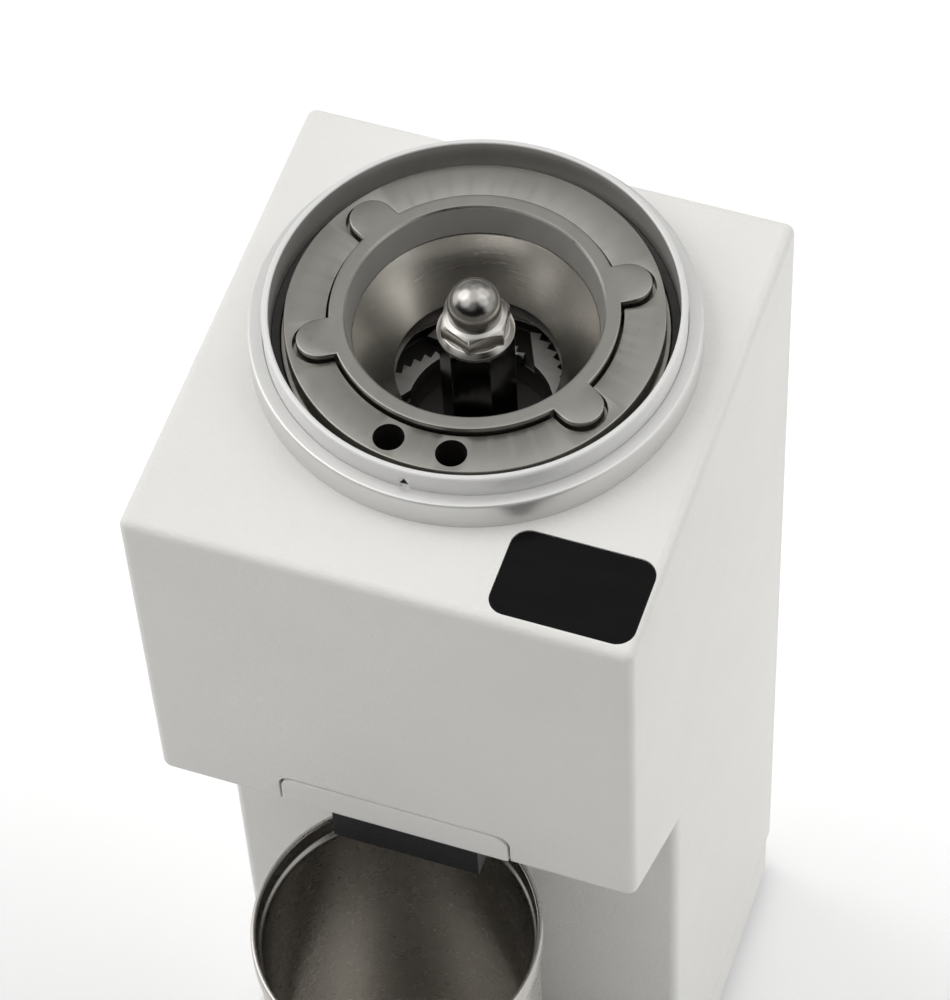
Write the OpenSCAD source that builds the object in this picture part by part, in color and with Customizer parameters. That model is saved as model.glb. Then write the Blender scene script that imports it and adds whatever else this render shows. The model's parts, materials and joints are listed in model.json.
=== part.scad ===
// Single-dose burr coffee grinder: a C-shaped body with flat burrs under an open feed funnel,
// a geared motor in the column and a dosing cup on the base.

/* [Body] */
// Width of the head, the column and the base
body_w = 100; // [90:1:120]
// Depth of the head from front to back
head_d = 104.6; // [95:0.1:125]
// Height of the head's top face above the table
top_z = 250; // [245:1:290]
// Height of the head's front face
head_h = 87.4; // [80:0.1:95]
// Distance from the head's front face to the spindle axis
spindle_back = 59.8; // [55:0.1:64]
// Distance from the head's front face back to the column
setback = 28.6; // [20:0.1:30]
// Fall of the head's slanted underside from its front edge to the column
underside_drop = 18.6; // [10:0.1:22]
// Wall thickness of the housing
wall = 3; // [2.5:0.1:4]

/* [Base] */
// Depth of the base
base_d = 150; // [140:1:170]
// Height of the base's top face above the table
base_top = 18; // [16:0.5:22]
// Height of the rubber feet
foot_h = 3; // [2:0.5:4]
// Radius of the dosing cup
cup_r = 29; // [25:0.5:30]
// Height of the dosing cup
cup_h = 112; // [80:1:115]

/* [Collar] */
// Outer radius of the fixed collar
collar_r = 43; // [40:0.1:43.5]
// Height of the fixed collar above the top face
collar_h = 6.5; // [4:0.1:8]
// Outer radius of the adjusting ring
ring_r = 40.1; // [39:0.1:40.3]
// Height of the adjusting ring above the top face
ring_h = 11; // [9:0.1:13]
// Inner radius of the adjusting ring's rim
rim_r = 38.75; // [38:0.05:39]

/* [Burrs] */
// Radius of both flat burrs
burr_r = 32; // [30:0.5:32]
// Gap between the burrs at rest
burr_gap = 0.5; // [0.4:0.05:1]
// Radius of the lower burr's bore
burr_bore = 14.2; // [12:0.1:16]
// Number of feeding pockets in the lower burr
pockets = 6; // [4:1:8]
// Saw teeth along the edge of each feeding land
land_teeth = 9; // [5:1:12]
// Grinding grooves in each burr
grooves = 24; // [12:1:36]
// Radius of the steel carrier ring around the funnel
carrier_r = 36.1; // [35:0.1:36.3]
// Radius of the funnel's mouth
mouth_r = 24.4; // [22:0.1:25]
// Radius of the funnel's throat
throat_r = 16; // [14:0.1:17]

/* [Gearbox] */
// Gear module
gear_m = 1; // [1:0.1:1]
// Teeth on the sun gear
sun_teeth = 18; // [18:1:18]
// Teeth on each planet gear
planet_teeth = 15; // [15:1:15]
// Length of the motor can
motor_len = 72; // [60:1:74]
// Radius of the motor can
motor_r = 26; // [24:0.5:28]

/* [Display] */
// Width of the display glass
display_w = 27.7; // [20:0.1:28]
// Depth of the display glass
display_d = 18.9; // [14:0.1:20]
// Corner radius of the display glass
display_corner = 3.6; // [2:0.1:5]

/* [Hidden] */
$fn = 64;
half_w = body_w / 2;

// Front and rear faces of the head and the front of the column, from the spindle axis
front_y = -spindle_back;
rear_y = head_d - spindle_back;
column_y = front_y + setback;
// The base is centred on the origin and reaches 0.7 mm behind the housing
spindle_y = base_d / 2 - 0.7 - rear_y;
cup_y = column_y - 3.8 - cup_r;

// Levels measured down from the top face
top_wall = 4;
seat_z = top_z - top_wall;
carrier_bottom = top_z - 13;
upper_burr_z = top_z - 21.8;
lower_burr_z = upper_burr_z - burr_gap;
land_z = top_z - 22;
lower_burr_bottom = top_z - 30.6;
hub_z = top_z - 34.6;
floor_z = top_z - 39;
floor_bottom = top_z - 44;
upper_bearing_z = top_z - 53;
lower_bearing_z = top_z - 69;
boss_bottom = top_z - 71;
gearbox_z = top_z - 94;
planet_z = top_z - 92;
planet_h = 9;
disc_z = top_z - 82;
plate_z = top_z - 100;
motor_z = plate_z - motor_len;

// Chamber
chamber_r = 41.5;
chamber_in = 37.3;
ledge_z = top_z - 16.5;
lug_x = 33.5;
lug_y = 32.7;

// Chute and its cover
chute_x = 15.5;
chute_front = -55.5;
chute_back = -41.5;
chute_wall = 2;
chute_end = top_z - 104;
cover_x = 23.7;
cover_top = top_z - 78.6;
slope = atan(underside_drop / setback);

// Gearing
ring_teeth = sun_teeth + 2 * planet_teeth;
orbit_r = gear_m * (sun_teeth + planet_teeth) / 2;
planets = 3;
bolt_r = 28.7;

// Screw circles of the upper and lower burr
upper_bolt_r = 28.4;
lower_bolt_r = 27;

// Bearings, 12 x 28 x 8
bearing_r = 14;
bearing_h = 8;
shaft_r = 6;

// Rear cover, inlet and switch
panel_t = 2;
panel_y = rear_y - 0.8 - panel_t;
inlet_x = -20;
switch_x = 22;
socket_z = 40;
rocker_tilt = 9;

display_x = half_w - 1.4 - display_w / 2;
display_y = front_y + 12.1;

// ---- Shared shapes ----

module at_spindle() {
  translate([0, spindle_y, 0]) children();
}

module rounded_rect(w, d, r) {
  square([w - 2 * r, d], center = true);
  square([w, d - 2 * r], center = true);
  for (x = [-1, 1], y = [-1, 1]) {
    translate([x * (w / 2 - r), y * (d / 2 - r)]) circle(r);
  }
}

// A block with round vertical edges, from y0 to y1 and z0 to z1
module block(w, y0, y1, z0, z1, r) {
  translate([0, (y0 + y1) / 2, z0]) {
    linear_extrude(z1 - z0) rounded_rect(w, y1 - y0, r);
  }
}

module box(x0, x1, y0, y1, z0, z1) {
  translate([x0, y0, z0]) cube([x1 - x0, y1 - y0, z1 - z0]);
}

module tube(r_out, r_in, z0, z1) {
  translate([0, 0, z0]) difference() {
    cylinder(r = r_out, h = z1 - z0);
    translate([0, 0, -1]) cylinder(r = r_in, h = z1 - z0 + 2);
  }
}

module rod(r, z0, z1) {
  translate([0, 0, z0]) cylinder(r = r, h = z1 - z0);
}

// A side outline given as [y, z] points, extruded across the width
module side_profile(w, points) {
  rotate([90, 0, 90]) linear_extrude(w, center = true) polygon(points);
}

module around(count, radius, start = 0) {
  for (i = [0 : count - 1]) {
    rotate([0, 0, start + i * 360 / count]) translate([radius, 0, 0]) children();
  }
}

module corners(x, y) {
  for (i = [-1, 1], j = [-1, 1]) translate([i * x, j * y, 0]) children();
}

// A screw standing on z = 0 with its head below and its thread above
module screw(r, length, head_r, head_h) {
  rod(r, 0, length);
  difference() {
    rod(head_r, -head_h, 0);
    translate([0, 0, -head_h - 1]) cylinder(r = head_r * 0.5, h = 1 + head_h * 0.6, $fn = 6);
  }
}

function underside(y) = top_z - head_h - (y - front_y) * underside_drop / setback;

function polar(r, a) = [r * cos(a), r * sin(a)];

// Angle swept by an involute between its base circle and radius r
function involute(r, base) =
  r <= base ? 0 : sqrt(pow(r / base, 2) - 1) * 180 / PI - acos(base / r);

// Involute outline with tip and root radii and a sideways change of each flank in mm
module gear_outline(teeth, tip, root, shift) {
  pitch = gear_m * teeth / 2;
  base = pitch * cos(20);
  low = max(base, root);
  steps = 4;
  half = 90 / teeth + shift / pitch * 180 / PI + involute(pitch, base);
  flank = [for (s = [0 : steps]) low + (tip - low) * s / steps];
  polygon([
    for (i = [0 : teeth - 1]) each concat(
      [polar(root, i * 360 / teeth - half)],
      [for (r = flank) polar(r, i * 360 / teeth - half + involute(r, base))],
      [for (s = [0 : steps]) polar(flank[steps - s],
        i * 360 / teeth + half - involute(flank[steps - s], base))],
      [polar(root, i * 360 / teeth + half)]
    )
  ]);
}

module spur_gear(teeth, bore, z0, height) {
  pitch = gear_m * teeth / 2;
  translate([0, 0, z0]) difference() {
    linear_extrude(height) gear_outline(teeth, pitch + 0.9, pitch - 1.25, -0.08);
    translate([0, 0, -1]) cylinder(r = bore, h = height + 2);
  }
}

// ---- Body ----

module housing() {
  outer = [
    [front_y, top_z], [rear_y, top_z], [rear_y, base_top], [column_y, base_top],
    [column_y, underside(column_y)], [front_y, underside(front_y)]
  ];
  lift = wall / cos(slope);
  inner = [
    [front_y + wall, seat_z], [rear_y + 1, seat_z], [rear_y + 1, base_top - 1],
    [column_y + wall, base_top - 1], [column_y + wall, underside(column_y + wall) + lift],
    [front_y + wall, underside(front_y + wall) + lift]
  ];
  color("whitesmoke") at_spindle() difference() {
    union() {
      difference() {
        intersection() {
          side_profile(body_w, outer);
          union() {
            block(body_w, front_y, rear_y, underside(column_y), top_z, 2);
            block(body_w, column_y, rear_y, base_top, top_z, 3.5);
          }
        }
        side_profile(body_w - 2 * wall, inner);
      }
      // Bosses for the base, the grinding chamber and the rear cover
      for (x = [-1, 1]) {
        for (y = [column_y + 9, rear_y - 26]) {
          translate([x * 43.5, y, 0]) rod(4.5, base_top, base_top + 20);
        }
        for (y = [-1, 1]) translate([x * lug_x, y * lug_y, 0]) rod(5, top_z - 12, seat_z + 1);
        for (z = [54, 140, 226]) {
          translate([x * 43.5, panel_y, z]) rotate([90, 0, 0]) cylinder(r = 4, h = 10);
        }
      }
    }
    // Seat of the collar
    rod(collar_r - 0.6, top_z - 6, top_z + 1);
    // Pocket of the display glass and the window under it
    translate([display_x, display_y, top_z - 1.4]) {
      linear_extrude(2) rounded_rect(display_w + 0.2, display_d + 0.2, display_corner);
    }
    translate([display_x, display_y, top_z - 6]) {
      linear_extrude(8) rounded_rect(display_w - 5, display_d - 5, 1.5);
    }
    chute_cover_shape(0.1, front_y - 1, -37.8);
    // Pilot holes
    for (x = [-1, 1]) {
      for (y = [column_y + 9, rear_y - 26]) {
        translate([x * 43.5, y, 0]) rod(1.7, base_top - 1, base_top + 16);
      }
      for (y = [-1, 1]) translate([x * lug_x, y * lug_y, 0]) rod(1.7, top_z - 13, top_z - 5);
      for (z = [54, 140, 226]) {
        translate([x * 43.5, panel_y + 1, z]) rotate([90, 0, 0]) cylinder(r = 1.3, h = 9);
      }
    }
  }
}

module back_cover() {
  w = body_w - 2 * wall - 0.4;
  z0 = base_top + 0.3;
  z1 = seat_z - 0.3;
  color("whitesmoke") at_spindle() difference() {
    box(-w / 2, w / 2, panel_y, panel_y + panel_t, z0, z1);
    for (i = [0 : 6], x = [-1, 1]) {
      translate([x * 17, panel_y - 1, 92 + i * 9]) rotate([-90, 0, 0]) {
        linear_extrude(panel_t + 2) rounded_rect(24, 3, 1.4);
      }
    }
    box(inlet_x - 13.7, inlet_x + 13.7, panel_y - 1, panel_y + 5, socket_z - 10, socket_z + 10);
    box(switch_x - 9.7, switch_x + 9.7, panel_y - 1, panel_y + 5, socket_z - 6.6, socket_z + 6.6);
    for (x = [-1, 1], z = [54, 140, 226]) {
      translate([x * 43.5, panel_y - 1, z]) rotate([-90, 0, 0]) cylinder(r = 1.7, h = 6);
      translate([x * 43.5, panel_y + 0.8, z]) rotate([-90, 0, 0]) cylinder(r = 3, h = 6);
    }
    for (x = [-26, 26], z = [66, 144]) {
      translate([x, panel_y - 1, z]) rotate([-90, 0, 0]) cylinder(r = 1.3, h = 2.2);
    }
  }
}

module base() {
  color("whitesmoke") difference() {
    block(body_w, -base_d / 2, base_d / 2, foot_h + 1.5, base_top, 6);
    difference() {
      block(body_w - 8, -base_d / 2 + 4, base_d / 2 - 4, foot_h, base_top - 4, 4);
      at_spindle() for (x = [-1, 1], y = [column_y + 9, rear_y - 26]) {
        translate([x * 43.5, y, 0]) rod(6, 0, base_top);
      }
      translate([0, spindle_y + cup_y, 0]) rod(11, 0, base_top);
    }
    translate([0, spindle_y + cup_y, 0]) rod(cup_r + 2.6, base_top - 1, base_top + 1);
    translate([0, spindle_y + cup_y, 0]) rod(8.1, 0, base_top - 2.5);
    // Cable passage into the column
    at_spindle() block(50, 0, 28, base_top - 5, base_top + 1, 4);
    at_spindle() for (x = [-1, 1], y = [column_y + 9, rear_y - 26]) {
      translate([x * 43.5, y, 0]) rod(2.2, 0, base_top + 1);
    }
  }
}

module bottom_plate() {
  color("dimgray") difference() {
    block(body_w - 1, -base_d / 2 + 0.5, base_d / 2 - 0.5, foot_h, foot_h + 1.5, 5.5);
    at_spindle() for (x = [-1, 1], y = [column_y + 9, rear_y - 26]) {
      translate([x * 43.5, y, 0]) rod(2.2, 0, base_top);
    }
    corners(body_w / 2 - 14, base_d / 2 - 12) rod(2.6, 0, foot_h + 3);
  }
}

module feet() {
  color("#202020") corners(body_w / 2 - 14, base_d / 2 - 12) {
    rotate_extrude() polygon([
      [0, 0], [7, 0], [8, 1], [8, foot_h], [2.5, foot_h], [2.5, foot_h + 1.6],
      [3.2, foot_h + 1.6], [2.2, foot_h + 3.4], [0, foot_h + 3.4]
    ]);
  }
}

module cup_pad() {
  color("#2b2b2b") translate([0, spindle_y + cup_y, 0]) difference() {
    rod(cup_r + 2.4, base_top - 1, base_top + 0.2);
    for (r = [8 : 5 : 28]) tube(r + 0.5, r, base_top - 0.2, base_top + 1);
  }
}

module cup_magnet() {
  color("silver") translate([0, spindle_y + cup_y, 0]) rod(8, base_top - 6.5, base_top - 2.6);
}

// ---- Collar, adjusting ring and upper burr ----

module collar() {
  edge = 0.6;
  color("white") at_spindle() rotate_extrude() polygon([
    [collar_r - 0.6, seat_z], [collar_r - 0.6, top_z], [collar_r, top_z],
    [collar_r, top_z + collar_h - edge], [collar_r - edge, top_z + collar_h],
    [ring_r + 0.08, top_z + collar_h], [ring_r + 0.08, top_z - 1.8],
    [ring_r + 1.5, top_z - 1.8], [ring_r + 1.5, seat_z]
  ]);
}

module adjusting_ring() {
  thread_r = carrier_r + 0.9;
  color("white") at_spindle() difference() {
    rotate_extrude() polygon([
      [thread_r, top_z - 8], [thread_r, top_z + 3], [rim_r, top_z + 3],
      [rim_r, top_z + ring_h], [ring_r - 0.9, top_z + ring_h],
      [ring_r - 0.25, top_z + ring_h - 0.3], [ring_r, top_z + ring_h - 0.95],
      [ring_r, top_z - 2], [ring_r + 1.2, top_z - 2], [ring_r + 1.2, top_z - 3.9],
      [ring_r - 0.4, top_z - 3.9], [ring_r - 0.4, top_z - 8]
    ]);
    // Index mark at the front
    translate([0, -ring_r + 0.4, top_z + 7.4]) rotate([90, 0, 0]) {
      linear_extrude(1) polygon([[-0.9, 0], [0.9, 0], [0, 1.6]]);
    }
  }
}

module tab_shape(half, reach) {
  translate([0, -half]) square([reach - half, 2 * half]);
  translate([reach - half, 0]) circle(half);
}

module tabs(half, reach, z0, z1) {
  for (a = [30, 150, 210, 330]) {
    rotate([0, 0, a]) translate([0, 0, z0]) linear_extrude(z1 - z0) tab_shape(half, reach);
  }
}

module upper_burr_carrier() {
  color("#a0a09c") at_spindle() difference() {
    union() {
      rod(carrier_r + 0.85, carrier_bottom, top_z + 2.9);
      rod(carrier_r - 0.3, top_z + 2, top_z + 7.8);
      rod(carrier_r, top_z + 2, top_z + 7.5);
    }
    rod(26, carrier_bottom - 1, top_z + 9);
    rod(28.1, top_z + 3.2, top_z + 9);
    tabs(5, 34.9, top_z + 5.2, top_z + 9);
    // Two pin holes at the front for the removable dial
    for (a = [-101, -79]) rotate([0, 0, a]) translate([32, 0, 0]) rod(3, top_z - 3, top_z + 9);
    // Guide slots
    for (a = [0, 180]) rotate([0, 0, a]) {
      box(34.6, 40, -1.7, 1.7, carrier_bottom - 1, top_z - 8);
    }
    around(3, upper_bolt_r, 60) rod(1.7, carrier_bottom - 1, carrier_bottom + 8);
  }
}

module guide_screws() {
  color("silver") at_spindle() for (a = [0, 180]) rotate([0, 0, a]) {
    translate([0, 0, top_z - 10.8]) rotate([0, 90, 0]) {
      rod(1.6, 35, chamber_r - 2);
      rod(2, chamber_r - 2, chamber_r + 1);
      rod(3.4, chamber_r + 1, chamber_r + 3);
    }
  }
}

module wave_spring() {
  r0 = 34.4;
  r1 = 36.7;
  t = 0.6;
  steps = 72;
  rise = carrier_bottom - ledge_z - t - 0.1;
  function height(i) = ledge_z + 0.05 + rise * (1 - cos(i * 360 / steps * 4)) / 2;
  function section(i) = [
    [r0 * cos(i * 5), r0 * sin(i * 5), height(i)],
    [r1 * cos(i * 5), r1 * sin(i * 5), height(i)],
    [r1 * cos(i * 5), r1 * sin(i * 5), height(i) + t],
    [r0 * cos(i * 5), r0 * sin(i * 5), height(i) + t]
  ];
  color("silver") at_spindle() polyhedron(
    points = [for (i = [0 : steps - 1]) each section(i)],
    faces = [for (i = [0 : steps - 1], j = [0 : 3]) let (n = (i + 1) % steps, k = (j + 1) % 4)
      [4 * i + j, 4 * i + k, 4 * n + k, 4 * n + j]]
  );
}

module feed_funnel() {
  ring_top = top_z + 9.3;
  skin = 1.2;
  color("#a6a6a2") at_spindle() difference() {
    union() {
      rotate_extrude() polygon([
        [throat_r, top_z - 12], [throat_r + skin, top_z - 12], [throat_r + skin, top_z - 9.6],
        [mouth_r + skin, top_z + 1.6], [mouth_r + skin, top_z + 3.25], [27.5, top_z + 3.25],
        [27.5, ring_top - 0.3], [27.2, ring_top], [mouth_r + 0.3, ring_top],
        [mouth_r, ring_top - 0.3], [mouth_r, top_z + 2.4], [throat_r, top_z - 9]
      ]);
      tabs(4.4, 34.1, top_z + 5.25, ring_top);
    }
    rod(mouth_r, top_z + 2.4, ring_top + 1);
  }
}

// Shallow slanted grooves across the outer band of a burr face
module burr_grooves(z0, z1) {
  around(grooves, 23) rotate([0, 0, 24]) translate([0, -0.7, z0]) cube([14, 1.4, z1 - z0]);
}

module upper_burr() {
  color("#8d8d8a") at_spindle() difference() {
    rotate_extrude() polygon([
      [22, upper_burr_z], [burr_r, upper_burr_z], [burr_r, carrier_bottom], [19, carrier_bottom]
    ]);
    burr_grooves(upper_burr_z - 1, upper_burr_z + 0.9);
    around(3, upper_bolt_r, 60) {
      rod(1.8, upper_burr_z - 1, carrier_bottom + 1);
      rod(3, upper_burr_z - 1, upper_burr_z + 3.4);
    }
  }
}

module upper_burr_screws() {
  color("silver") at_spindle() around(3, upper_bolt_r, 60) {
    translate([0, 0, upper_burr_z + 3.4]) screw(1.65, 9, 2.8, 2);
  }
}

// ---- Lower burr and spindle ----

// One feeding land: round inside, saw-toothed along its spiral outer edge
module land() {
  span = 67;
  pitch = span / land_teeth;
  function spiral(a) = burr_bore + 0.093 * a;
  polygon(concat(
    [for (a = [0 : 9 : 53]) polar(burr_bore - 1, a)],
    [polar(spiral(span) - 0.2, span)],
    [for (i = [land_teeth - 1 : -1 : 0]) each [
      polar(spiral(i * pitch) + 1.1, i * pitch + 1.5),
      polar(spiral(i * pitch) - 0.2, i * pitch)
    ]]
  ));
}

module lower_burr() {
  color("#9a9a96") at_spindle() rotate([0, 0, 13]) difference() {
    union() {
      tube(burr_r, burr_bore, lower_burr_bottom, land_z - 2.6);
      tube(burr_r, 22, lower_burr_bottom, lower_burr_z);
      translate([0, 0, land_z - 2.7]) linear_extrude(2.7) {
        for (i = [0 : pockets - 1]) rotate([0, 0, i * 360 / pockets]) land();
      }
    }
    rod(burr_bore, lower_burr_bottom - 1, land_z + 1);
    burr_grooves(lower_burr_z - 0.9, lower_burr_z + 1);
    around(3, lower_bolt_r, 20) {
      rod(1.8, lower_burr_bottom - 1, lower_burr_z + 1);
      rod(3, lower_burr_z - 3.4, lower_burr_z + 1);
    }
  }
}

module lower_burr_screws() {
  color("silver") at_spindle() rotate([0, 0, 13]) around(3, lower_bolt_r, 20) {
    translate([0, 0, lower_burr_z - 3.4]) mirror([0, 0, 1]) screw(1.65, 8, 2.8, 2);
  }
}

module burr_hub() {
  color("#4a4a48") at_spindle() rotate([0, 0, 13]) difference() {
    union() {
      rod(33, hub_z, lower_burr_bottom);
      rod(11, top_z - 40, hub_z + 1);
      // Sweeping paddles
      around(4, 28) box(0, 8.2, -1.5, 1.5, floor_z + 0.9, lower_burr_bottom - 0.2);
    }
    rod(shaft_r + 0.02, top_z - 41, lower_burr_bottom + 1);
    around(3, lower_bolt_r, 20) rod(1.68, hub_z - 1, lower_burr_bottom + 1);
  }
}

module hex_sleeve() {
  color("#3c3c3c") at_spindle() rotate([0, 0, 8.3]) difference() {
    translate([0, 0, lower_burr_bottom]) {
      cylinder(r = 7.45, h = top_z + 2.2 - lower_burr_bottom, $fn = 6);
    }
    rod(4.02, lower_burr_bottom - 1, top_z + 3);
  }
}

module spindle() {
  color("silver") at_spindle() rotate_extrude() polygon([
    [0, disc_z], [shaft_r, disc_z], [shaft_r, top_z - 45], [8, top_z - 45], [8, top_z - 40],
    [shaft_r, top_z - 40], [shaft_r, lower_burr_bottom], [4, lower_burr_bottom],
    [4, top_z + 1.7], [3, top_z + 2.1], [3, top_z + 9.5], [2.6, top_z + 10], [0, top_z + 10]
  ]);
}

module lock_washer() {
  color("silver") at_spindle() difference() {
    tube(7.3, 3.1, top_z + 2.2, top_z + 2.8);
    box(0, 8, -0.6, 0.6, top_z + 2, top_z + 3);
  }
}

module acorn_nut() {
  dome = 5.1;
  color("#d8d8d4") at_spindle() rotate([0, 0, 38.8]) difference() {
    union() {
      rotate_extrude() polygon([
        [0, top_z + 2.8], [7.45, top_z + 2.8], [7.45, top_z + 3.3], [6.6, top_z + 4.2],
        [0, top_z + 4.2]
      ]);
      intersection() {
        translate([0, 0, top_z + 3.5]) cylinder(r = 7, h = 4.7, $fn = 6);
        rotate_extrude() polygon([
          [0, top_z + 3], [8, top_z + 3], [8, top_z + 6.9], [5.6, top_z + 8.2], [0, top_z + 8.2]
        ]);
      }
      rod(dome, top_z + 7, top_z + 10.9);
      translate([0, 0, top_z + 10.9]) sphere(dome);
    }
    rod(3.02, top_z + 2, top_z + 11);
  }
}

module shaft_seal() {
  color("#222222") at_spindle() tube(bearing_r, 8.05, top_z - 43.9, top_z - 40.6);
}

module bearing_outer(z0) {
  at_spindle() {
    tube(bearing_r, 11.6, z0, z0 + bearing_h);
    around(8, 10) translate([0, 0, z0 + bearing_h / 2]) sphere(1.3);
  }
}

module upper_bearing() {
  color("silver") bearing_outer(upper_bearing_z);
}

module lower_bearing() {
  color("silver") bearing_outer(lower_bearing_z);
}

module upper_bearing_race() {
  color("silver") at_spindle() tube(8.4, 6.02, upper_bearing_z, upper_bearing_z + bearing_h);
}

module lower_bearing_race() {
  color("silver") at_spindle() tube(8.4, 6.02, lower_bearing_z, lower_bearing_z + bearing_h);
}

// ---- Grinding chamber and chute ----

module grind_chamber() {
  color("#b8b8b4") at_spindle() difference() {
    union() {
      rod(chamber_r, floor_bottom, seat_z);
      rod(19, boss_bottom, floor_bottom + 1);
      rod(31, boss_bottom, boss_bottom + 5);
      for (x = [-1, 1], y = [-1, 1]) {
        translate([x * lug_x, y * lug_y, 0]) rod(5, top_z - 20, top_z - 12);
      }
    }
    rod(40, top_z - 8.4, seat_z + 1);
    rod(chamber_in, ledge_z, top_z - 8);
    rod(34, floor_z + 10, top_z - 8);
    rod(chamber_in, floor_z, top_z - 18);
    rod(bearing_r, upper_bearing_z, floor_z + 1);
    rod(12, lower_bearing_z, upper_bearing_z + 1);
    rod(bearing_r, boss_bottom - 1, lower_bearing_z + bearing_h);
    // Outlet to the chute
    box(-13.5, 13.5, -50, -25, floor_z + 0.01, top_z - 25);
    for (x = [-1, 1], y = [-1, 1]) {
      translate([x * lug_x, y * lug_y, 0]) rod(2.1, top_z - 21, top_z - 11);
    }
    for (a = [0, 180]) rotate([0, 0, a]) translate([0, 0, top_z - 10.8]) {
      rotate([0, 90, 0]) rod(2, 30, 45);
    }
    around(4, bolt_r, 45) rod(1.4, boss_bottom - 1, boss_bottom + 4);
  }
}

module chute() {
  inner_x = chute_x - chute_wall;
  color("#26282a") at_spindle() difference() {
    union() {
      box(-chute_x, chute_x, chute_front, -36, floor_z - 3, top_z - 22);
      box(-chute_x, chute_x, chute_front, chute_back, chute_end, floor_z);
      // Flange that the chute cover is screwed to
      side_profile(2 * cover_x - 4, [
        [chute_front, underside(chute_front) + 3.6], [chute_front, underside(chute_front) + 7],
        [chute_back + 2.5, underside(chute_back + 2.5) + 7],
        [chute_back + 2.5, underside(chute_back + 2.5) + 3.6]
      ]);
    }
    rod(chamber_r + 0.05, top_z - 60, top_z);
    box(-inner_x, inner_x, chute_front + chute_wall, -30, floor_z + 0.5, top_z - 24.5);
    box(-inner_x, inner_x, chute_front + chute_wall, chute_back - chute_wall,
      chute_end - 1, floor_z + 1);
    box(-inner_x - 1, inner_x + 1, chute_front + 1.2, chute_back - 1.2,
      chute_end + 12, chute_end + 13);
    for (x = [-1, 1]) translate([x * 18.6, -48, underside(-48)]) rotate([-slope, 0, 0]) {
      rod(1.3, 0, 12);
    }
  }
}

// Rounded plate outline that the cover and its cut-out share
module chute_cover_shape(gap, y0, y1) {
  r = 3;
  translate([0, y1, 0]) rotate([90, 0, 0]) linear_extrude(y1 - y0) {
    translate([-cover_x - gap, top_z - 125]) {
      square([2 * (cover_x + gap), cover_top + gap - r - top_z + 125]);
    }
    translate([-cover_x - gap + r, top_z - 125]) {
      square([2 * (cover_x + gap - r), cover_top + gap - top_z + 125]);
    }
    for (x = [-1, 1]) translate([x * (cover_x + gap - r), cover_top + gap - r]) circle(r);
  }
}

module chute_cover() {
  face = front_y + 0.3;
  back = -38;
  color("whitesmoke") at_spindle() difference() {
    intersection() {
      side_profile(body_w, [
        [face, cover_top + 1], [face, underside(face) + 0.3], [back, underside(back) + 0.3],
        [back, underside(back) + 3.5], [face + 2.6, underside(face + 2.6) + 3.5],
        [face + 2.6, cover_top + 1]
      ]);
      chute_cover_shape(0, front_y - 1, back + 1);
    }
    box(-chute_x - 0.2, chute_x + 0.2, chute_front - 0.2, chute_back + 0.2, chute_end, top_z - 60);
    for (x = [-1, 1]) translate([x * 18.6, -48, underside(-48)]) rotate([-slope, 0, 0]) {
      rod(1.7, -2, 8);
      rod(3, -2, 1.5);
    }
  }
}

module declumper() {
  inner_x = chute_x - chute_wall;
  color("#8a3b2a") at_spindle() difference() {
    box(-inner_x - 0.9, inner_x + 0.9, chute_front + 1.3, chute_back - 1.3,
      chute_end + 12.1, chute_end + 12.9);
    for (x = [-9, -3, 3, 9]) {
      box(x - 0.4, x + 0.4, chute_front + 3, chute_back - 3, chute_end, chute_end + 20);
    }
  }
}

module chute_screws() {
  color("silver") at_spindle() for (x = [-1, 1]) {
    translate([x * 18.6, -48, underside(-48)]) rotate([-slope, 0, 0]) {
      translate([0, 0, 1.5]) screw(1.25, 6, 2.8, 1.4);
    }
  }
}

// ---- Gearbox ----

module gearbox_cover() {
  color("#7c7c7a") at_spindle() difference() {
    tube(31, 8, boss_bottom - 5, boss_bottom);
    around(4, bolt_r, 45) rod(1.7, boss_bottom - 6, boss_bottom + 1);
  }
}

module ring_gear() {
  pitch = gear_m * ring_teeth / 2;
  color("#6f6f6c") at_spindle() difference() {
    rod(31, gearbox_z, boss_bottom - 5);
    translate([0, 0, gearbox_z - 1]) linear_extrude(boss_bottom - gearbox_z) {
      gear_outline(ring_teeth, pitch + 1.25, pitch - 0.9, 0.08);
    }
    around(4, bolt_r, 45) rod(1.7, gearbox_z - 1, boss_bottom);
  }
}

module planet_carrier() {
  color("#9b9b98") at_spindle() {
    difference() {
      rod(21, disc_z, disc_z + 4);
      rod(shaft_r + 0.02, disc_z - 1, disc_z + 5);
    }
    around(planets, orbit_r) rod(2.5, planet_z, disc_z + 2);
  }
}

module planet_gear(i) {
  angle = i * 360 / planets;
  color("#c9a75c") at_spindle() translate([orbit_r * cos(angle), orbit_r * sin(angle), 0]) {
    rotate([0, 0, angle]) spur_gear(planet_teeth, 2.55, planet_z, planet_h);
  }
}

module planet_gear_1() planet_gear(0);
module planet_gear_2() planet_gear(1);
module planet_gear_3() planet_gear(2);

module sun_gear() {
  color("#8a8a86") at_spindle() spur_gear(sun_teeth, 3.02, planet_z, planet_h);
}

// ---- Motor ----

module motor_plate() {
  color("#55575a") at_spindle() difference() {
    tube(31, 3.4, plate_z, gearbox_z);
    rod(8, plate_z - 1, plate_z + 4.6);
    around(4, bolt_r, 45) rod(1.7, plate_z - 1, gearbox_z + 1);
  }
}

module motor_can() {
  color("#3a3d40") at_spindle() difference() {
    rod(motor_r, motor_z, plate_z);
    rod(motor_r - 2, motor_z + 3, plate_z + 1);
    rod(3.4, motor_z - 1, motor_z + 4);
    rod(8, motor_z + 1, motor_z + 4);
    around(6, 15) rod(2.5, motor_z - 1, motor_z + 4);
  }
}

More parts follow.
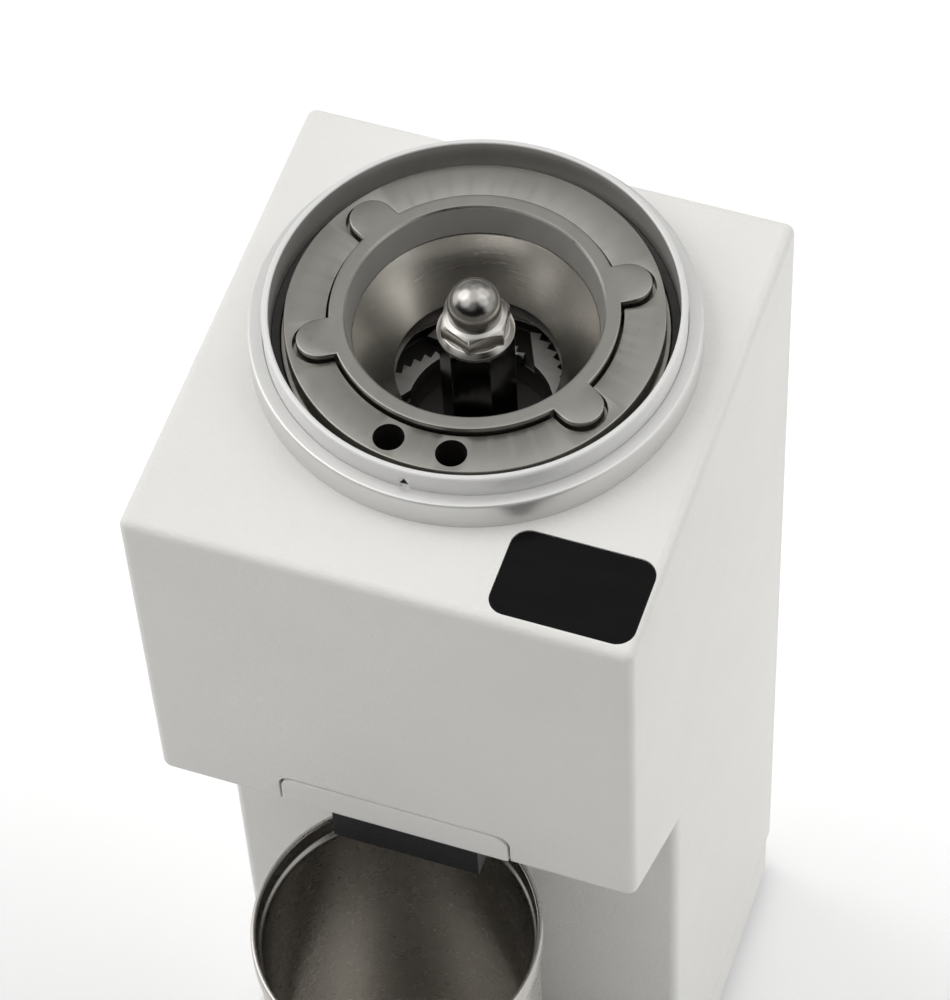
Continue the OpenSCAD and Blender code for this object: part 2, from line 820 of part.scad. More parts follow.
module stator() {
  color("#77797c") at_spindle() difference() {
    tube(motor_r - 2.02, 15.2, motor_z + 14, plate_z - 12);
    around(12, 15) box(0, 6.5, -1.9, 1.9, motor_z, plate_z);
  }
}

module windings() {
  color("#b5652a") at_spindle() {
    around(12, 16.2) box(0, 4.9, -1.7, 1.7, motor_z + 13.5, plate_z - 11.5);
    tube(21.4, 16, motor_z + 9, motor_z + 13.8);
    tube(21.4, 16, plate_z - 11.8, plate_z - 7);
  }
}

module rotor() {
  color("#50535a") at_spindle() tube(14.7, 3.02, motor_z + 12, plate_z - 10);
}

module motor_shaft() {
  color("silver") at_spindle() rod(3, motor_z - 2, planet_z + planet_h);
}

module motor_bearings() {
  color("silver") at_spindle() {
    tube(8, 3.06, plate_z + 0.2, plate_z + 4.6);
    tube(8, 3.06, motor_z + 1, motor_z + 5.4);
  }
}

// ---- Electrics ----

module controller_board() {
  color("#1f5c3a") at_spindle() difference() {
    box(-30, 30, panel_y - 4.6, panel_y - 3, 60, 150);
    for (x = [-26, 26], z = [66, 144]) {
      translate([x, panel_y, z]) rotate([90, 0, 0]) cylinder(r = 1.7, h = 8);
    }
  }
}

module board_parts() {
  face = panel_y - 4.6;
  color("#2f2f33") at_spindle() {
    box(-20, -8, face - 5, face, 70, 84);
    box(-4, 12, face - 3, face, 96, 112);
    box(14, 26, face - 9, face, 118, 132);
    for (i = [0 : 2]) translate([-18 + i * 9, face, 134]) rotate([90, 0, 0]) cylinder(r = 3.8, h = 8);
    for (i = [0 : 3]) box(-24 + i * 6, -21 + i * 6, face - 1.5, face, 118, 124);
  }
}

module board_standoffs() {
  color("gold") at_spindle() for (x = [-26, 26], z = [66, 144]) {
    translate([x, panel_y - 3, z]) rotate([-90, 0, 0]) cylinder(r = 3, h = 3, $fn = 6);
    translate([x, panel_y - 6.4, z]) rotate([-90, 0, 0]) cylinder(r = 1.25, h = 7.4);
    translate([x, panel_y - 6.4, z]) rotate([-90, 0, 0]) cylinder(r = 2.6, h = 1.8);
  }
}

module display_glass() {
  color("#121212") at_spindle() translate([display_x, display_y, top_z - 1.38]) {
    linear_extrude(1.38) rounded_rect(display_w, display_d, display_corner);
  }
}

module display_board() {
  color("#1f5c3a") at_spindle() translate([display_x, display_y, 0]) {
    box(-12, 12, -8, 8, seat_z - 1.4, seat_z);
    box(-10.5, 10.5, -6, 6, seat_z, top_z - 1.38);
  }
}

module power_inlet() {
  out = panel_y + panel_t;
  color("#1b1b1b") at_spindle() difference() {
    union() {
      box(inlet_x - 13.5, inlet_x + 13.5, out - 22, out, socket_z - 9.8, socket_z + 9.8);
      box(inlet_x - 15.5, inlet_x + 15.5, out, out + 1.5, socket_z - 12, socket_z + 12);
      for (x = [-8, 0, 8]) box(inlet_x + x - 2.4, inlet_x + x + 2.4, out - 29, out - 22,
        socket_z - 0.4, socket_z + 0.4);
    }
    difference() {
      box(inlet_x - 12.1, inlet_x + 12.1, out - 16, out + 2, socket_z - 8, socket_z + 8);
      for (x = [-7, 0, 7]) {
        box(inlet_x + x - 1, inlet_x + x + 1, out - 17, out - 3,
          socket_z - 2 + (x == 0 ? 3 : -1), socket_z + 2 + (x == 0 ? 3 : -1));
      }
    }
  }
}

module switch_frame() {
  out = panel_y + panel_t;
  color("#1b1b1b") at_spindle() difference() {
    union() {
      box(switch_x - 9.5, switch_x + 9.5, out - 16, out, socket_z - 6.4, socket_z + 6.4);
      box(switch_x - 10.5, switch_x + 10.5, out, out + 1.2, socket_z - 7.5, socket_z + 7.5);
    }
    box(switch_x - 8, switch_x + 8, out - 8, out + 3, socket_z - 5.4, socket_z + 5.4);
    translate([switch_x, out - 3.4, socket_z]) rotate([0, 90, 0]) {
      translate([0, 0, -9]) cylinder(r = 1, h = 18);
    }
  }
}

module power_rocker() {
  out = panel_y + panel_t;
  color("#101010") at_spindle() translate([switch_x, out - 3.4, socket_z]) {
    rotate([rocker_tilt, 0, 0]) {
      rotate([0, 90, 0]) translate([0, 0, -8.9]) cylinder(r = 0.95, h = 17.8);
      difference() {
        box(-7.6, 7.6, -1.4, 3.6, -4.5, 4.5);
        translate([0, 13.8, 0]) rotate([0, 90, 0]) cylinder(r = 11, h = 20, center = true);
      }
    }
  }
}

// ---- Dosing cup ----

module dosing_cup() {
  z0 = base_top + 0.5;
  skin = 1.2;
  color("silver") translate([0, spindle_y + cup_y, 0]) rotate_extrude() polygon([
    [0, z0 + 0.6], [cup_r - 4, z0 + 0.6], [cup_r - 3.4, z0], [cup_r - 1.2, z0],
    [cup_r, z0 + 1.2], [cup_r, z0 + cup_h - 6], [cup_r + 1, z0 + cup_h - 5],
    [cup_r + 1, z0 + cup_h], [cup_r + 1 - skin, z0 + cup_h], [cup_r + 1 - skin, z0 + cup_h - 4.6],
    [cup_r - skin, z0 + cup_h - 5.6], [cup_r - skin, z0 + 3.4], [cup_r - skin - 1, z0 + 2.4],
    [0, z0 + 2.4]
  ]);
}

// ---- Fasteners ----

module base_screws() {
  color("silver") at_spindle() for (x = [-1, 1], y = [column_y + 9, rear_y - 26]) {
    translate([x * 43.5, y, foot_h]) screw(1.68, base_top + 12 - foot_h, 3.6, 2);
  }
}

module cover_screws() {
  color("silver") at_spindle() for (x = [-1, 1], z = [54, 140, 226]) {
    translate([x * 43.5, panel_y + 0.8, z]) rotate([90, 0, 0]) screw(1.25, 7, 2.8, 1.2);
  }
}

module chamber_screws() {
  color("silver") at_spindle() for (x = [-1, 1], y = [-1, 1]) {
    translate([x * lug_x, y * lug_y, top_z - 20]) screw(1.68, 14, 3.4, 3);
  }
}

module gearbox_screws() {
  color("silver") at_spindle() around(4, bolt_r, 45) {
    translate([0, 0, plate_z]) screw(1.38, 32, 2.4, 2.4);
  }
}

housing();
back_cover();
base();
bottom_plate();
feet();
cup_pad();
cup_magnet();
collar();
adjusting_ring();
upper_burr_carrier();
guide_screws();
wave_spring();
feed_funnel();
upper_burr();
upper_burr_screws();
lower_burr();
lower_burr_screws();
burr_hub();
hex_sleeve();
spindle();
lock_washer();
acorn_nut();
shaft_seal();
upper_bearing();
lower_bearing();
upper_bearing_race();
lower_bearing_race();
grind_chamber();
chute();
chute_cover();
declumper();
chute_screws();
gearbox_cover();
ring_gear();
planet_carrier();
planet_gear_1();
planet_gear_2();
planet_gear_3();
sun_gear();
motor_plate();
motor_can();
stator();
windings();
rotor();
motor_shaft();
motor_bearings();
controller_board();
board_parts();
board_standoffs();
display_glass();
display_board();
power_inlet();
switch_frame();
power_rocker();
dosing_cup();
base_screws();
cover_screws();
chamber_screws();
gearbox_screws();
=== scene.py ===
"""Looks of the burr coffee grinder: soft-edged coated body, turned and brushed steel, and a plain studio."""

import json
import math

import bmesh
import bpy
from mathutils import Matrix, Vector
from mathutils.geometry import tessellate_polygon


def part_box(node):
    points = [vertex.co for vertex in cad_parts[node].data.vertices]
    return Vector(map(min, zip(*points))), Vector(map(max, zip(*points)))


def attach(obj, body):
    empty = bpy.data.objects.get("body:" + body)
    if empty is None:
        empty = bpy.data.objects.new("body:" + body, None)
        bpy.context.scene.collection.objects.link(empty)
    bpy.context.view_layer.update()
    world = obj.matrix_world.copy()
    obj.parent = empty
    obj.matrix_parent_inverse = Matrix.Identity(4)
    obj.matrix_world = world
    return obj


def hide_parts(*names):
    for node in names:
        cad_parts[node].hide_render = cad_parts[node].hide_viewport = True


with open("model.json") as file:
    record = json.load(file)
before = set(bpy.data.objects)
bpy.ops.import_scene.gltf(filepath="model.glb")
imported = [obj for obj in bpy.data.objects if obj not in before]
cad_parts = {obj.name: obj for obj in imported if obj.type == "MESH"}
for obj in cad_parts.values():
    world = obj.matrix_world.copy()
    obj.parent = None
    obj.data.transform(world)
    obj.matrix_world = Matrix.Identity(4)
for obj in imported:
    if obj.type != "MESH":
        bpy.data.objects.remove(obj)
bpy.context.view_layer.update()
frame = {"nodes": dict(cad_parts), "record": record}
nodes = frame["nodes"]
MM = 0.001


def edge(node, axis, high):
    """One side of a CAD node's box, in millimetres."""
    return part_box(node)[1 if high else 0][axis] / MM


# ---- Driving dimensions, in millimetres: places taken from the frame, then the shapes' own sizes ----

TOP = edge("housing", 2, True)
REAR = edge("housing", 1, True)
FRONT = edge("housing", 1, False)
HALF_W = edge("housing", 0, True)
BASE_TOP = edge("housing", 2, False)
BASE_FRONT = edge("base", 1, False)
BASE_REAR = edge("base", 1, True)
BASE_BOTTOM = edge("base", 2, False)
COLLAR_R = edge("collar", 0, True)
COLLAR_TOP = edge("collar", 2, True)
RING_TOP = edge("adjusting_ring", 2, True)
CARRIER_TOP = edge("upper_burr_carrier", 2, True)
CARRIER_BOTTOM = edge("upper_burr_carrier", 2, False)
FUNNEL_TOP = edge("feed_funnel", 2, True)
FUNNEL_BOTTOM = edge("feed_funnel", 2, False)
SPINDLE_Y = (edge("collar", 1, True) + edge("collar", 1, False)) / 2
NUT_TOP = edge("acorn_nut", 2, True)
SLEEVE_TOP = edge("hex_sleeve", 2, True)
SLEEVE_BOTTOM = edge("hex_sleeve", 2, False)
CUP_Y = (edge("dosing_cup", 1, True) + edge("dosing_cup", 1, False)) / 2

HEAD_H = 87.4
SETBACK = 28.6
DROP = 18.6
WALL = 3.0
COLUMN_Y = FRONT + SETBACK
RING_R = 40.1
RIM_R = 38.75
CARRIER_R = 36.1
RECESS_R = 28.1
RECESS_PAD_R = 31.6
MOUTH_R = 24.4
THROAT_R = 16.0
BORE_R = 14.2
FUNNEL_R = 27.5
TAB_ANGLES = (30, 150, 210, 330)
PIN_ANGLES = (-101, -79)
PIN_CIRCLE = 32
PIN_R = 3
GLASS_CORNER = 3.6
PANEL_GAP = 0.55
PANEL_CORNER = 3
SPOUT = (31.4, 14.4)
SPOUT_Y = -48.5
PANEL_SCREW_X = 18.6
PANEL_SCREW_Y = -48
BURR_POCKET_R = 22.0
BURR_SCREW_CIRCLE = 27
BURR_SCREW_ANGLES = (33, 153, 273)
FINE = 192


# ---- Outlines ----


def arc(centre, radius, start, end, steps):
    """Points on an arc, angles in degrees."""
    return [
        (
            centre[0] + radius * math.cos(math.radians(start + (end - start) * i / steps)),
            centre[1] + radius * math.sin(math.radians(start + (end - start) * i / steps)),
        )
        for i in range(steps + 1)
    ]


def polar(radius, angle):
    return (radius * math.cos(math.radians(angle)), radius * math.sin(math.radians(angle)))


def circle(radius, steps=FINE, centre=(0.0, 0.0)):
    return arc(centre, radius, 0, 360, steps)[:-1]


def softened(corners, steps=5):
    """A closed outline of (a, b, radius) corners, each rounded by its radius."""
    out = []
    for i, (a, b, radius) in enumerate(corners):
        here = Vector((a, b))
        back = Vector(corners[i - 1][:2]) - here
        ahead = Vector(corners[(i + 1) % len(corners)][:2]) - here
        if radius <= 0 or back.length == 0 or ahead.length == 0:
            out.append((a, b))
            continue
        back, ahead = back.normalized(), ahead.normalized()
        half = back.angle(ahead) / 2
        if half > math.radians(89):
            out.append((a, b))
            continue
        reach = radius / math.tan(half)
        middle = here + (back + ahead).normalized() * (radius / math.sin(half))
        start, end = here + back * reach - middle, here + ahead * reach - middle
        turn = start.angle_signed(end)
        for s in range(steps + 1):
            angle = -turn * s / steps
            c, n = math.cos(angle), math.sin(angle)
            out.append((middle.x + start.x * c - start.y * n, middle.y + start.x * n + start.y * c))
    return out


def rounded_rect(width, depth, radius, centre=(0.0, 0.0), steps=8):
    x, y = width / 2, depth / 2
    corners = [(x, -y), (x, y), (-x, y), (-x, -y)]
    return softened([(centre[0] + a, centre[1] + b, radius) for a, b in corners], steps)


def lobed(radius, half, reach, neck, steps=14):
    """A circle with a rounded tab at each of the funnel's four tab angles, and small fillets at the necks."""
    out = []
    tip = reach - half
    foot = math.sqrt((radius + neck) ** 2 - (half + neck) ** 2)
    lean = math.degrees(math.atan2(half + neck, foot))
    for i, angle in enumerate(TAB_ANGLES):
        turn = math.radians(angle)
        local = arc((foot, -half - neck), neck, 180 - lean, 90, steps // 2)
        local += arc((tip, 0), half, -90, 90, steps)
        local += arc((foot, half + neck), neck, 270, 180 + lean, steps // 2)
        out += [
            (x * math.cos(turn) - y * math.sin(turn), x * math.sin(turn) + y * math.cos(turn))
            for x, y in local
        ]
        following = TAB_ANGLES[(i + 1) % len(TAB_ANGLES)] + (360 if i == len(TAB_ANGLES) - 1 else 0)
        out += arc((0, 0), radius, angle + lean, following - lean, 40)[1:-1]
    return out


# ---- Meshes ----


def mesh_object(name, points, faces, sharp=32):
    """A mesh from points in millimetres, smooth except across edges sharper than the given angle."""
    mesh = bpy.data.meshes.new(name)
    mesh.from_pydata([Vector(p) * MM for p in points], [], faces)
    obj = bpy.data.objects.new(name, mesh)
    bpy.context.scene.collection.objects.link(obj)
    tidy(obj, sharp)
    return obj


def tidy(obj, sharp=32):
    """Closes seams, points every face outwards and sets the shading."""
    bm = bmesh.new()
    bm.from_mesh(obj.data)
    bmesh.ops.remove_doubles(bm, verts=bm.verts, dist=1e-6)
    bmesh.ops.dissolve_degenerate(bm, edges=bm.edges, dist=1e-7)
    bmesh.ops.recalc_face_normals(bm, faces=bm.faces)
    bm.to_mesh(obj.data)
    bm.free()
    obj.data.shade_smooth()
    obj.data.set_sharp_from_angle(angle=math.radians(sharp))
    return obj


def lathe(name, outline, steps=FINE, centre=(0.0, SPINDLE_Y)):
    """Turns a closed (radius, height) outline about an upright axis, which is the spindle's by default."""
    points, faces = [], []
    n = len(outline)
    for i in range(steps):
        a = math.radians(360 * i / steps)
        points += [(centre[0] + r * math.cos(a), centre[1] + r * math.sin(a), z) for r, z in outline]
    for i in range(steps):
        j = (i + 1) % steps
        for k in range(n):
            m = (k + 1) % n
            if outline[k][0] < 1e-6 and outline[m][0] < 1e-6:
                continue
            faces.append([i * n + k, j * n + k, j * n + m, i * n + m])
    return mesh_object(name, points, faces)


def shifted(loop, amount):
    """A loop moved to its left by an amount, for edges that are rounded off."""
    out = []
    n = len(loop)
    for i in range(n):
        a, b, c = (Vector(loop[k % n]) for k in (i - 1, i, i + 1))
        d1, d2 = (b - a), (c - b)
        if d1.length < 1e-9 or d2.length < 1e-9:
            out.append(loop[i])
            continue
        d1, d2 = d1.normalized(), d2.normalized()
        n1, n2 = Vector((-d1.y, d1.x)), Vector((-d2.y, d2.x))
        m = (n1 + n2).normalized()
        out.append(tuple(b + m * amount / max(0.4, m.dot(n1))))
    return out


def plate(name, loops, z0, z1, top=0.0, bottom=0.0, steps=3, place=None):
    """A flat piece from an outline and its holes, with rounded upper and lower edges.
    place turns (a, b, height) into a point; the spindle's own axes are used without it."""
    place = place or (lambda a, b, h: (a, b + SPINDLE_Y, h))
    levels = []
    for s in range(steps + 1 if bottom else 1):
        t = math.radians(90 * s / steps) if bottom else math.pi / 2
        levels.append((bottom * (1 - math.sin(t)), z0 + bottom * (1 - math.cos(t))))
    for s in range(steps + 1 if top else 1):
        t = math.radians(90 * s / steps) if top else 0
        levels.append((top * (1 - math.cos(t)), z1 - top * (1 - math.sin(t))))
    points, faces, caps = [], [], [[], []]
    for k, loop in enumerate(loops):
        area = sum(loop[i - 1][0] * loop[i][1] - loop[i][0] * loop[i - 1][1] for i in range(len(loop)))
        loop = loop if (area > 0) == (k == 0) else loop[::-1]
        first, n = len(points), len(loop)
        for inset, z in levels:
            points += [place(a, b, z) for a, b in shifted(loop, inset)]
        for row in range(len(levels) - 1):
            for i in range(n):
                j = (i + 1) % n
                at = first + row * n
                faces.append([at + i, at + j, at + n + j, at + n + i])
        caps[0].append([first + i for i in range(n)])
        caps[1].append([first + (len(levels) - 1) * n + i for i in range(n)])
    for cap in caps:
        flat = [i for ring in cap for i in ring]
        triangles = tessellate_polygon([[Vector(points[i]) for i in ring] for ring in cap])
        faces += [[flat[i] for i in triangle] for triangle in triangles]
    obj = mesh_object(name, points, faces)
    weigh(obj)
    return obj


def weigh(obj):
    """Keeps flat faces flat in the shading next to rounded edges."""
    modifier = obj.modifiers.new("flat_faces", "WEIGHTED_NORMAL")
    modifier.keep_sharp = True
    modifier.weight = 100


def rounded_block(name, corners, half_w, radius, segments=5, spared=None, small=0.3):
    """A side outline of (y, z) corners, extruded across the width with every edge rounded.
    spared(edge middle) marks the edges that only get the small radius."""
    bm = bmesh.new()
    near = [bm.verts.new(Vector((-half_w, y, z)) * MM) for y, z in corners]
    far = [bm.verts.new(Vector((half_w, y, z)) * MM) for y, z in corners]
    bm.faces.new(near)
    bm.faces.new(far[::-1])
    for i in range(len(corners)):
        j = (i + 1) % len(corners)
        bm.faces.new([near[i], far[i], far[j], near[j]])
    bmesh.ops.recalc_face_normals(bm, faces=bm.faces)
    few, most = [], []
    for e in bm.edges:
        middle = (e.verts[0].co + e.verts[1].co) / 2 / MM
        (few if spared and spared(middle) else most).append(e)
    bmesh.ops.bevel(bm, geom=most, offset=radius * MM, segments=segments, profile=0.5, affect="EDGES")
    if few:
        left = [e for e in bm.edges if spared((e.verts[0].co + e.verts[1].co) / 2 / MM)]
        sharp = [e for e in left if len(e.link_faces) == 2 and e.calc_face_angle(0) > math.radians(60)]
        bmesh.ops.bevel(bm, geom=sharp, offset=small * MM, segments=2, profile=0.5, affect="EDGES")
    mesh = bpy.data.meshes.new(name)
    bm.to_mesh(mesh)
    bm.free()
    obj = bpy.data.objects.new(name, mesh)
    bpy.context.scene.collection.objects.link(obj)
    return tidy(obj)


def applied(obj):
    """Replaces a piece's mesh by what its modifiers make of it."""
    bpy.context.view_layer.update()
    mesh = bpy.data.meshes.new_from_object(obj.evaluated_get(bpy.context.evaluated_depsgraph_get()))
    obj.modifiers.clear()
    obj.data = mesh
    return obj


def cut(obj, *tools):
    """Takes the tools' volumes out of a piece."""
    for m in [m for m in obj.modifiers if m.type == "WEIGHTED_NORMAL"]:
        obj.modifiers.remove(m)
    for tool in tools:
        modifier = obj.modifiers.new("cut", "BOOLEAN")
        modifier.operation = "DIFFERENCE"
        modifier.solver = "EXACT"
        modifier.object = tool
    applied(obj)
    for tool in tools:
        bpy.data.objects.remove(tool)
    return obj


def merge(obj, other):
    """Adds another piece's volume to a piece, with no faces left inside."""
    for m in [m for m in [*obj.modifiers, *other.modifiers] if m.type == "WEIGHTED_NORMAL"]:
        m.id_data.modifiers.remove(m)
    modifier = obj.modifiers.new("merge", "BOOLEAN")
    modifier.operation = "UNION"
    modifier.solver = "EXACT"
    modifier.object = other
    applied(obj)
    bpy.data.objects.remove(other)
    return obj


def soften_edges(obj, width, segments=2, angle=48):
    """Rounds the sharp edges that are left on a piece and keeps its flat faces flat."""
    modifier = obj.modifiers.new("soft_edges", "BEVEL")
    modifier.limit_method = "ANGLE"
    modifier.angle_limit = math.radians(angle)
    modifier.width = width * MM
    modifier.segments = segments
    modifier.harden_normals = True
    modifier.miter_outer = "MITER_ARC"
    return obj


def join(name, parts):
    """Several loose meshes as one piece."""
    bm = bmesh.new()
    for part in parts:
        mesh = applied(part).data
        mesh.transform(part.matrix_world)
        bm.from_mesh(mesh)
        bpy.data.objects.remove(part)
    mesh = bpy.data.meshes.new(name)
    bm.to_mesh(mesh)
    bm.free()
    obj = bpy.data.objects.new(name, mesh)
    bpy.context.scene.collection.objects.link(obj)
    return tidy(obj)


# ---- Materials ----


class Nodes:
    """A material's node tree with short ways to add and link nodes."""

    def __init__(self, name, **values):
        self.material = bpy.data.materials.new(name)
        self.material.use_nodes = True
        self.tree = self.material.node_tree
        self.shader = self.tree.nodes["Principled BSDF"]
        for socket, value in values.items():
            self.shader.inputs[socket.replace("_", " ")].default_value = value
        self.place = self.add("ShaderNodeTexCoord").outputs["Object"]

    def add(self, kind, settings=(), **inputs):
        """A node with its settings, and its inputs by name, or by number as i0, i1 and so on."""
        node = self.tree.nodes.new(kind)
        for key, value in dict(settings).items():
            setattr(node, key, value)
        for key, value in inputs.items():
            numbered = key[0] == "i" and key[1:].isdigit()
            socket = node.inputs[int(key[1:]) if numbered else key.replace("_", " ")]
            if isinstance(value, bpy.types.NodeSocket):
                self.tree.links.new(value, socket)
            else:
                socket.default_value = value
        return node

    def noise(self, scale, detail=3.0, rough=0.5, stretch=None, at=None):
        at = at or self.place
        if stretch:
            at = self.add("ShaderNodeMapping", Vector=at, Scale=stretch).outputs[0]
        node = self.add("ShaderNodeTexNoise", Vector=at, Scale=scale, Detail=detail, Roughness=rough)
        return node.outputs[0]

    def ranged(self, value, low, high, source=(0.3, 0.7)):
        return self.add(
            "ShaderNodeMapRange", i0=value, i1=source[0], i2=source[1], i3=low, i4=high
        ).outputs[0]

    def math(self, operation, a, b=0.0):
        return self.add("ShaderNodeMath", {"operation": operation}, i0=a, i1=b).outputs[0]

    def blend(self, amount, a, b):
        mix = self.add("ShaderNodeMix", {"data_type": "RGBA"}, i0=amount)
        for socket, value in ((mix.inputs[6], a), (mix.inputs[7], b)):
            if isinstance(value, bpy.types.NodeSocket):
                self.tree.links.new(value, socket)
            else:
                socket.default_value = (*value, 1)
        return mix.outputs[2]

    def link(self, socket, value):
        self.tree.links.new(value, self.shader.inputs[socket])

    def bump(self, height, strength, distance):
        node = self.add("ShaderNodeBump", i0=strength, i1=distance)
        self.tree.links.new(height, node.inputs["Height"])
        self.link("Normal", node.outputs[0])

    def polar(self):
        """Distance from the spindle axis and angle around it, both in metres or radians."""
        parts = self.add("ShaderNodeSeparateXYZ", i0=self.place).outputs
        y = self.math("SUBTRACT", parts[1], SPINDLE_Y * MM)
        squares = [self.math("MULTIPLY", side, side) for side in (parts[0], y)]
        radius = self.math("SQRT", self.math("ADD", *squares))
        return radius, self.math("ARCTAN2", y, parts[0]), parts[2]


def coated(name, colour, grain=0.4):
    """Fine-grained powder coat with faint handling variation."""
    n = Nodes(name, Roughness=0.6)
    n.shader.inputs["Coat Weight"].default_value = 0.04
    n.shader.inputs["Coat Roughness"].default_value = 0.35
    wide = n.noise(28, 3, 0.6)
    fine = n.noise(1000, 5, 0.7)
    darker = tuple(c * 0.965 for c in colour)
    n.link("Base Color", n.blend(n.ranged(wide, 0, 1), darker, colour))
    n.link("Roughness", n.ranged(fine, 0.5, 0.68))
    n.bump(fine, grain, 0.0005)
    return n.material


def satin(name, colour, rough=(0.24, 0.34), grain=0.05, rings=0.0, metallic=1.0, wear=0.14):
    """Steel with a fine brushed grain and, where it was turned, concentric tool marks."""
    n = Nodes(name, Metallic=metallic)
    cloud = n.noise(45, 3, 0.55)
    brushed = n.noise(900, 4, 0.6)
    rubbed = n.noise(240, 2, 0.5, stretch=(1.0, 0.25, 1.0))
    tone = tuple(c * (1 - wear) for c in colour)
    worn = n.math("ADD", n.math("MULTIPLY", cloud, 0.6), n.math("MULTIPLY", rubbed, 0.4))
    n.link("Base Color", n.blend(n.ranged(worn, 0, 1), tone, colour))
    height = n.math("ADD", n.math("MULTIPLY", brushed, 0.6), n.math("MULTIPLY", rubbed, 0.4))
    if rings:
        radius, angle, z = n.polar()
        around = n.add(
            "ShaderNodeCombineXYZ",
            i0=n.math("MULTIPLY", radius, 6500.0),
            i1=n.math("MULTIPLY", angle, 2.5),
            i2=n.math("MULTIPLY", z, 6500.0),
        ).outputs[0]
        turned = n.noise(1.0, 2.0, 0.5, at=around)
        height = n.math("ADD", n.math("MULTIPLY", turned, rings), n.math("MULTIPLY", height, 1 - rings))
    n.link("Roughness", n.ranged(height, rough[0], rough[1]))
    n.bump(height, grain, 0.0002)
    return n.material


def anodised(name, colour, metallic):
    """Bead-blasted aluminium with a white anodised finish, part way to bare metal in its reflections."""
    n = Nodes(name, Metallic=metallic)
    fine = n.noise(2200, 3, 0.6)
    wide = n.noise(40, 2, 0.5)
    n.link("Base Color", n.blend(n.ranged(wide, 0, 1), tuple(c * 0.97 for c in colour), colour))
    n.link("Roughness", n.ranged(fine, 0.34, 0.44))
    n.bump(fine, 0.04, 0.0003)
    return n.material


def moulded(name, colour, rough=0.5, scale=1400, grain=0.12, metallic=0.0):
    """Moulded plastic, rubber or paint: a fine spark grain and slight colour change."""
    n = Nodes(name, Metallic=metallic)
    wide = n.noise(60, 3, 0.6)
    fine = n.noise(scale, 3, 0.6)
    darker, lighter = tuple(c * 0.8 for c in colour), tuple(min(1, c * 1.15) for c in colour)
    n.link("Base Color", n.blend(n.ranged(wide, 0, 1), darker, lighter))
    n.link("Roughness", n.ranged(fine, rough * 0.85, min(1, rough * 1.15)))
    n.bump(fine, grain, 0.0004)
    return n.material


def wound(name, colour):
    """Enamelled wire laid in turns, with painted shade darkening the grooves between the turns."""
    n = Nodes(name, Metallic=0.85)
    wave = {"Vector": n.place, "Scale": 520.0, "Distortion": 0.6, "Detail": 2.0}
    turns = n.add("ShaderNodeTexWave", {"bands_direction": "Z"}, **wave).outputs[1]
    # The colour is darker in the grooves between the turns: painted shade
    n.link("Base Color", n.blend(turns, tuple(c * 0.45 for c in colour), colour))
    n.link("Roughness", n.ranged(turns, 0.5, 0.28, (0, 1)))
    n.bump(turns, 0.6, 0.0005)
    return n.material


def printed_board(name):
    """Green solder mask with raised copper tracks."""
    n = Nodes(name, Roughness=0.35)
    square = {"distance": "CHEBYCHEV", "feature": "F1"}
    cells = n.add("ShaderNodeTexVoronoi", square, Vector=n.place, Scale=210.0)
    track = n.ranged(cells.outputs[0], 1.0, 0.0, (0.30, 0.36))
    n.link("Base Color", n.blend(track, (0.012, 0.10, 0.05), (0.03, 0.21, 0.10)))
    n.link("Roughness", n.ranged(n.noise(400, 2), 0.28, 0.42))
    n.bump(track, 0.25, 0.0003)
    return n.material


def glossy_glass(name):
    """Black coated glass with the faintest wiping marks."""
    n = Nodes(name, Specular_IOR_Level=0.1)
    smear = n.noise(90, 4, 0.6, stretch=(1, 3, 1))
    n.link("Base Color", n.blend(n.ranged(smear, 0, 1), (0.0045, 0.0045, 0.0045), (0.0062, 0.0062, 0.006)))
    n.link("Roughness", n.ranged(smear, 0.10, 0.16))
    n.bump(n.noise(30, 2), 0.01, 0.0005)
    return n.material


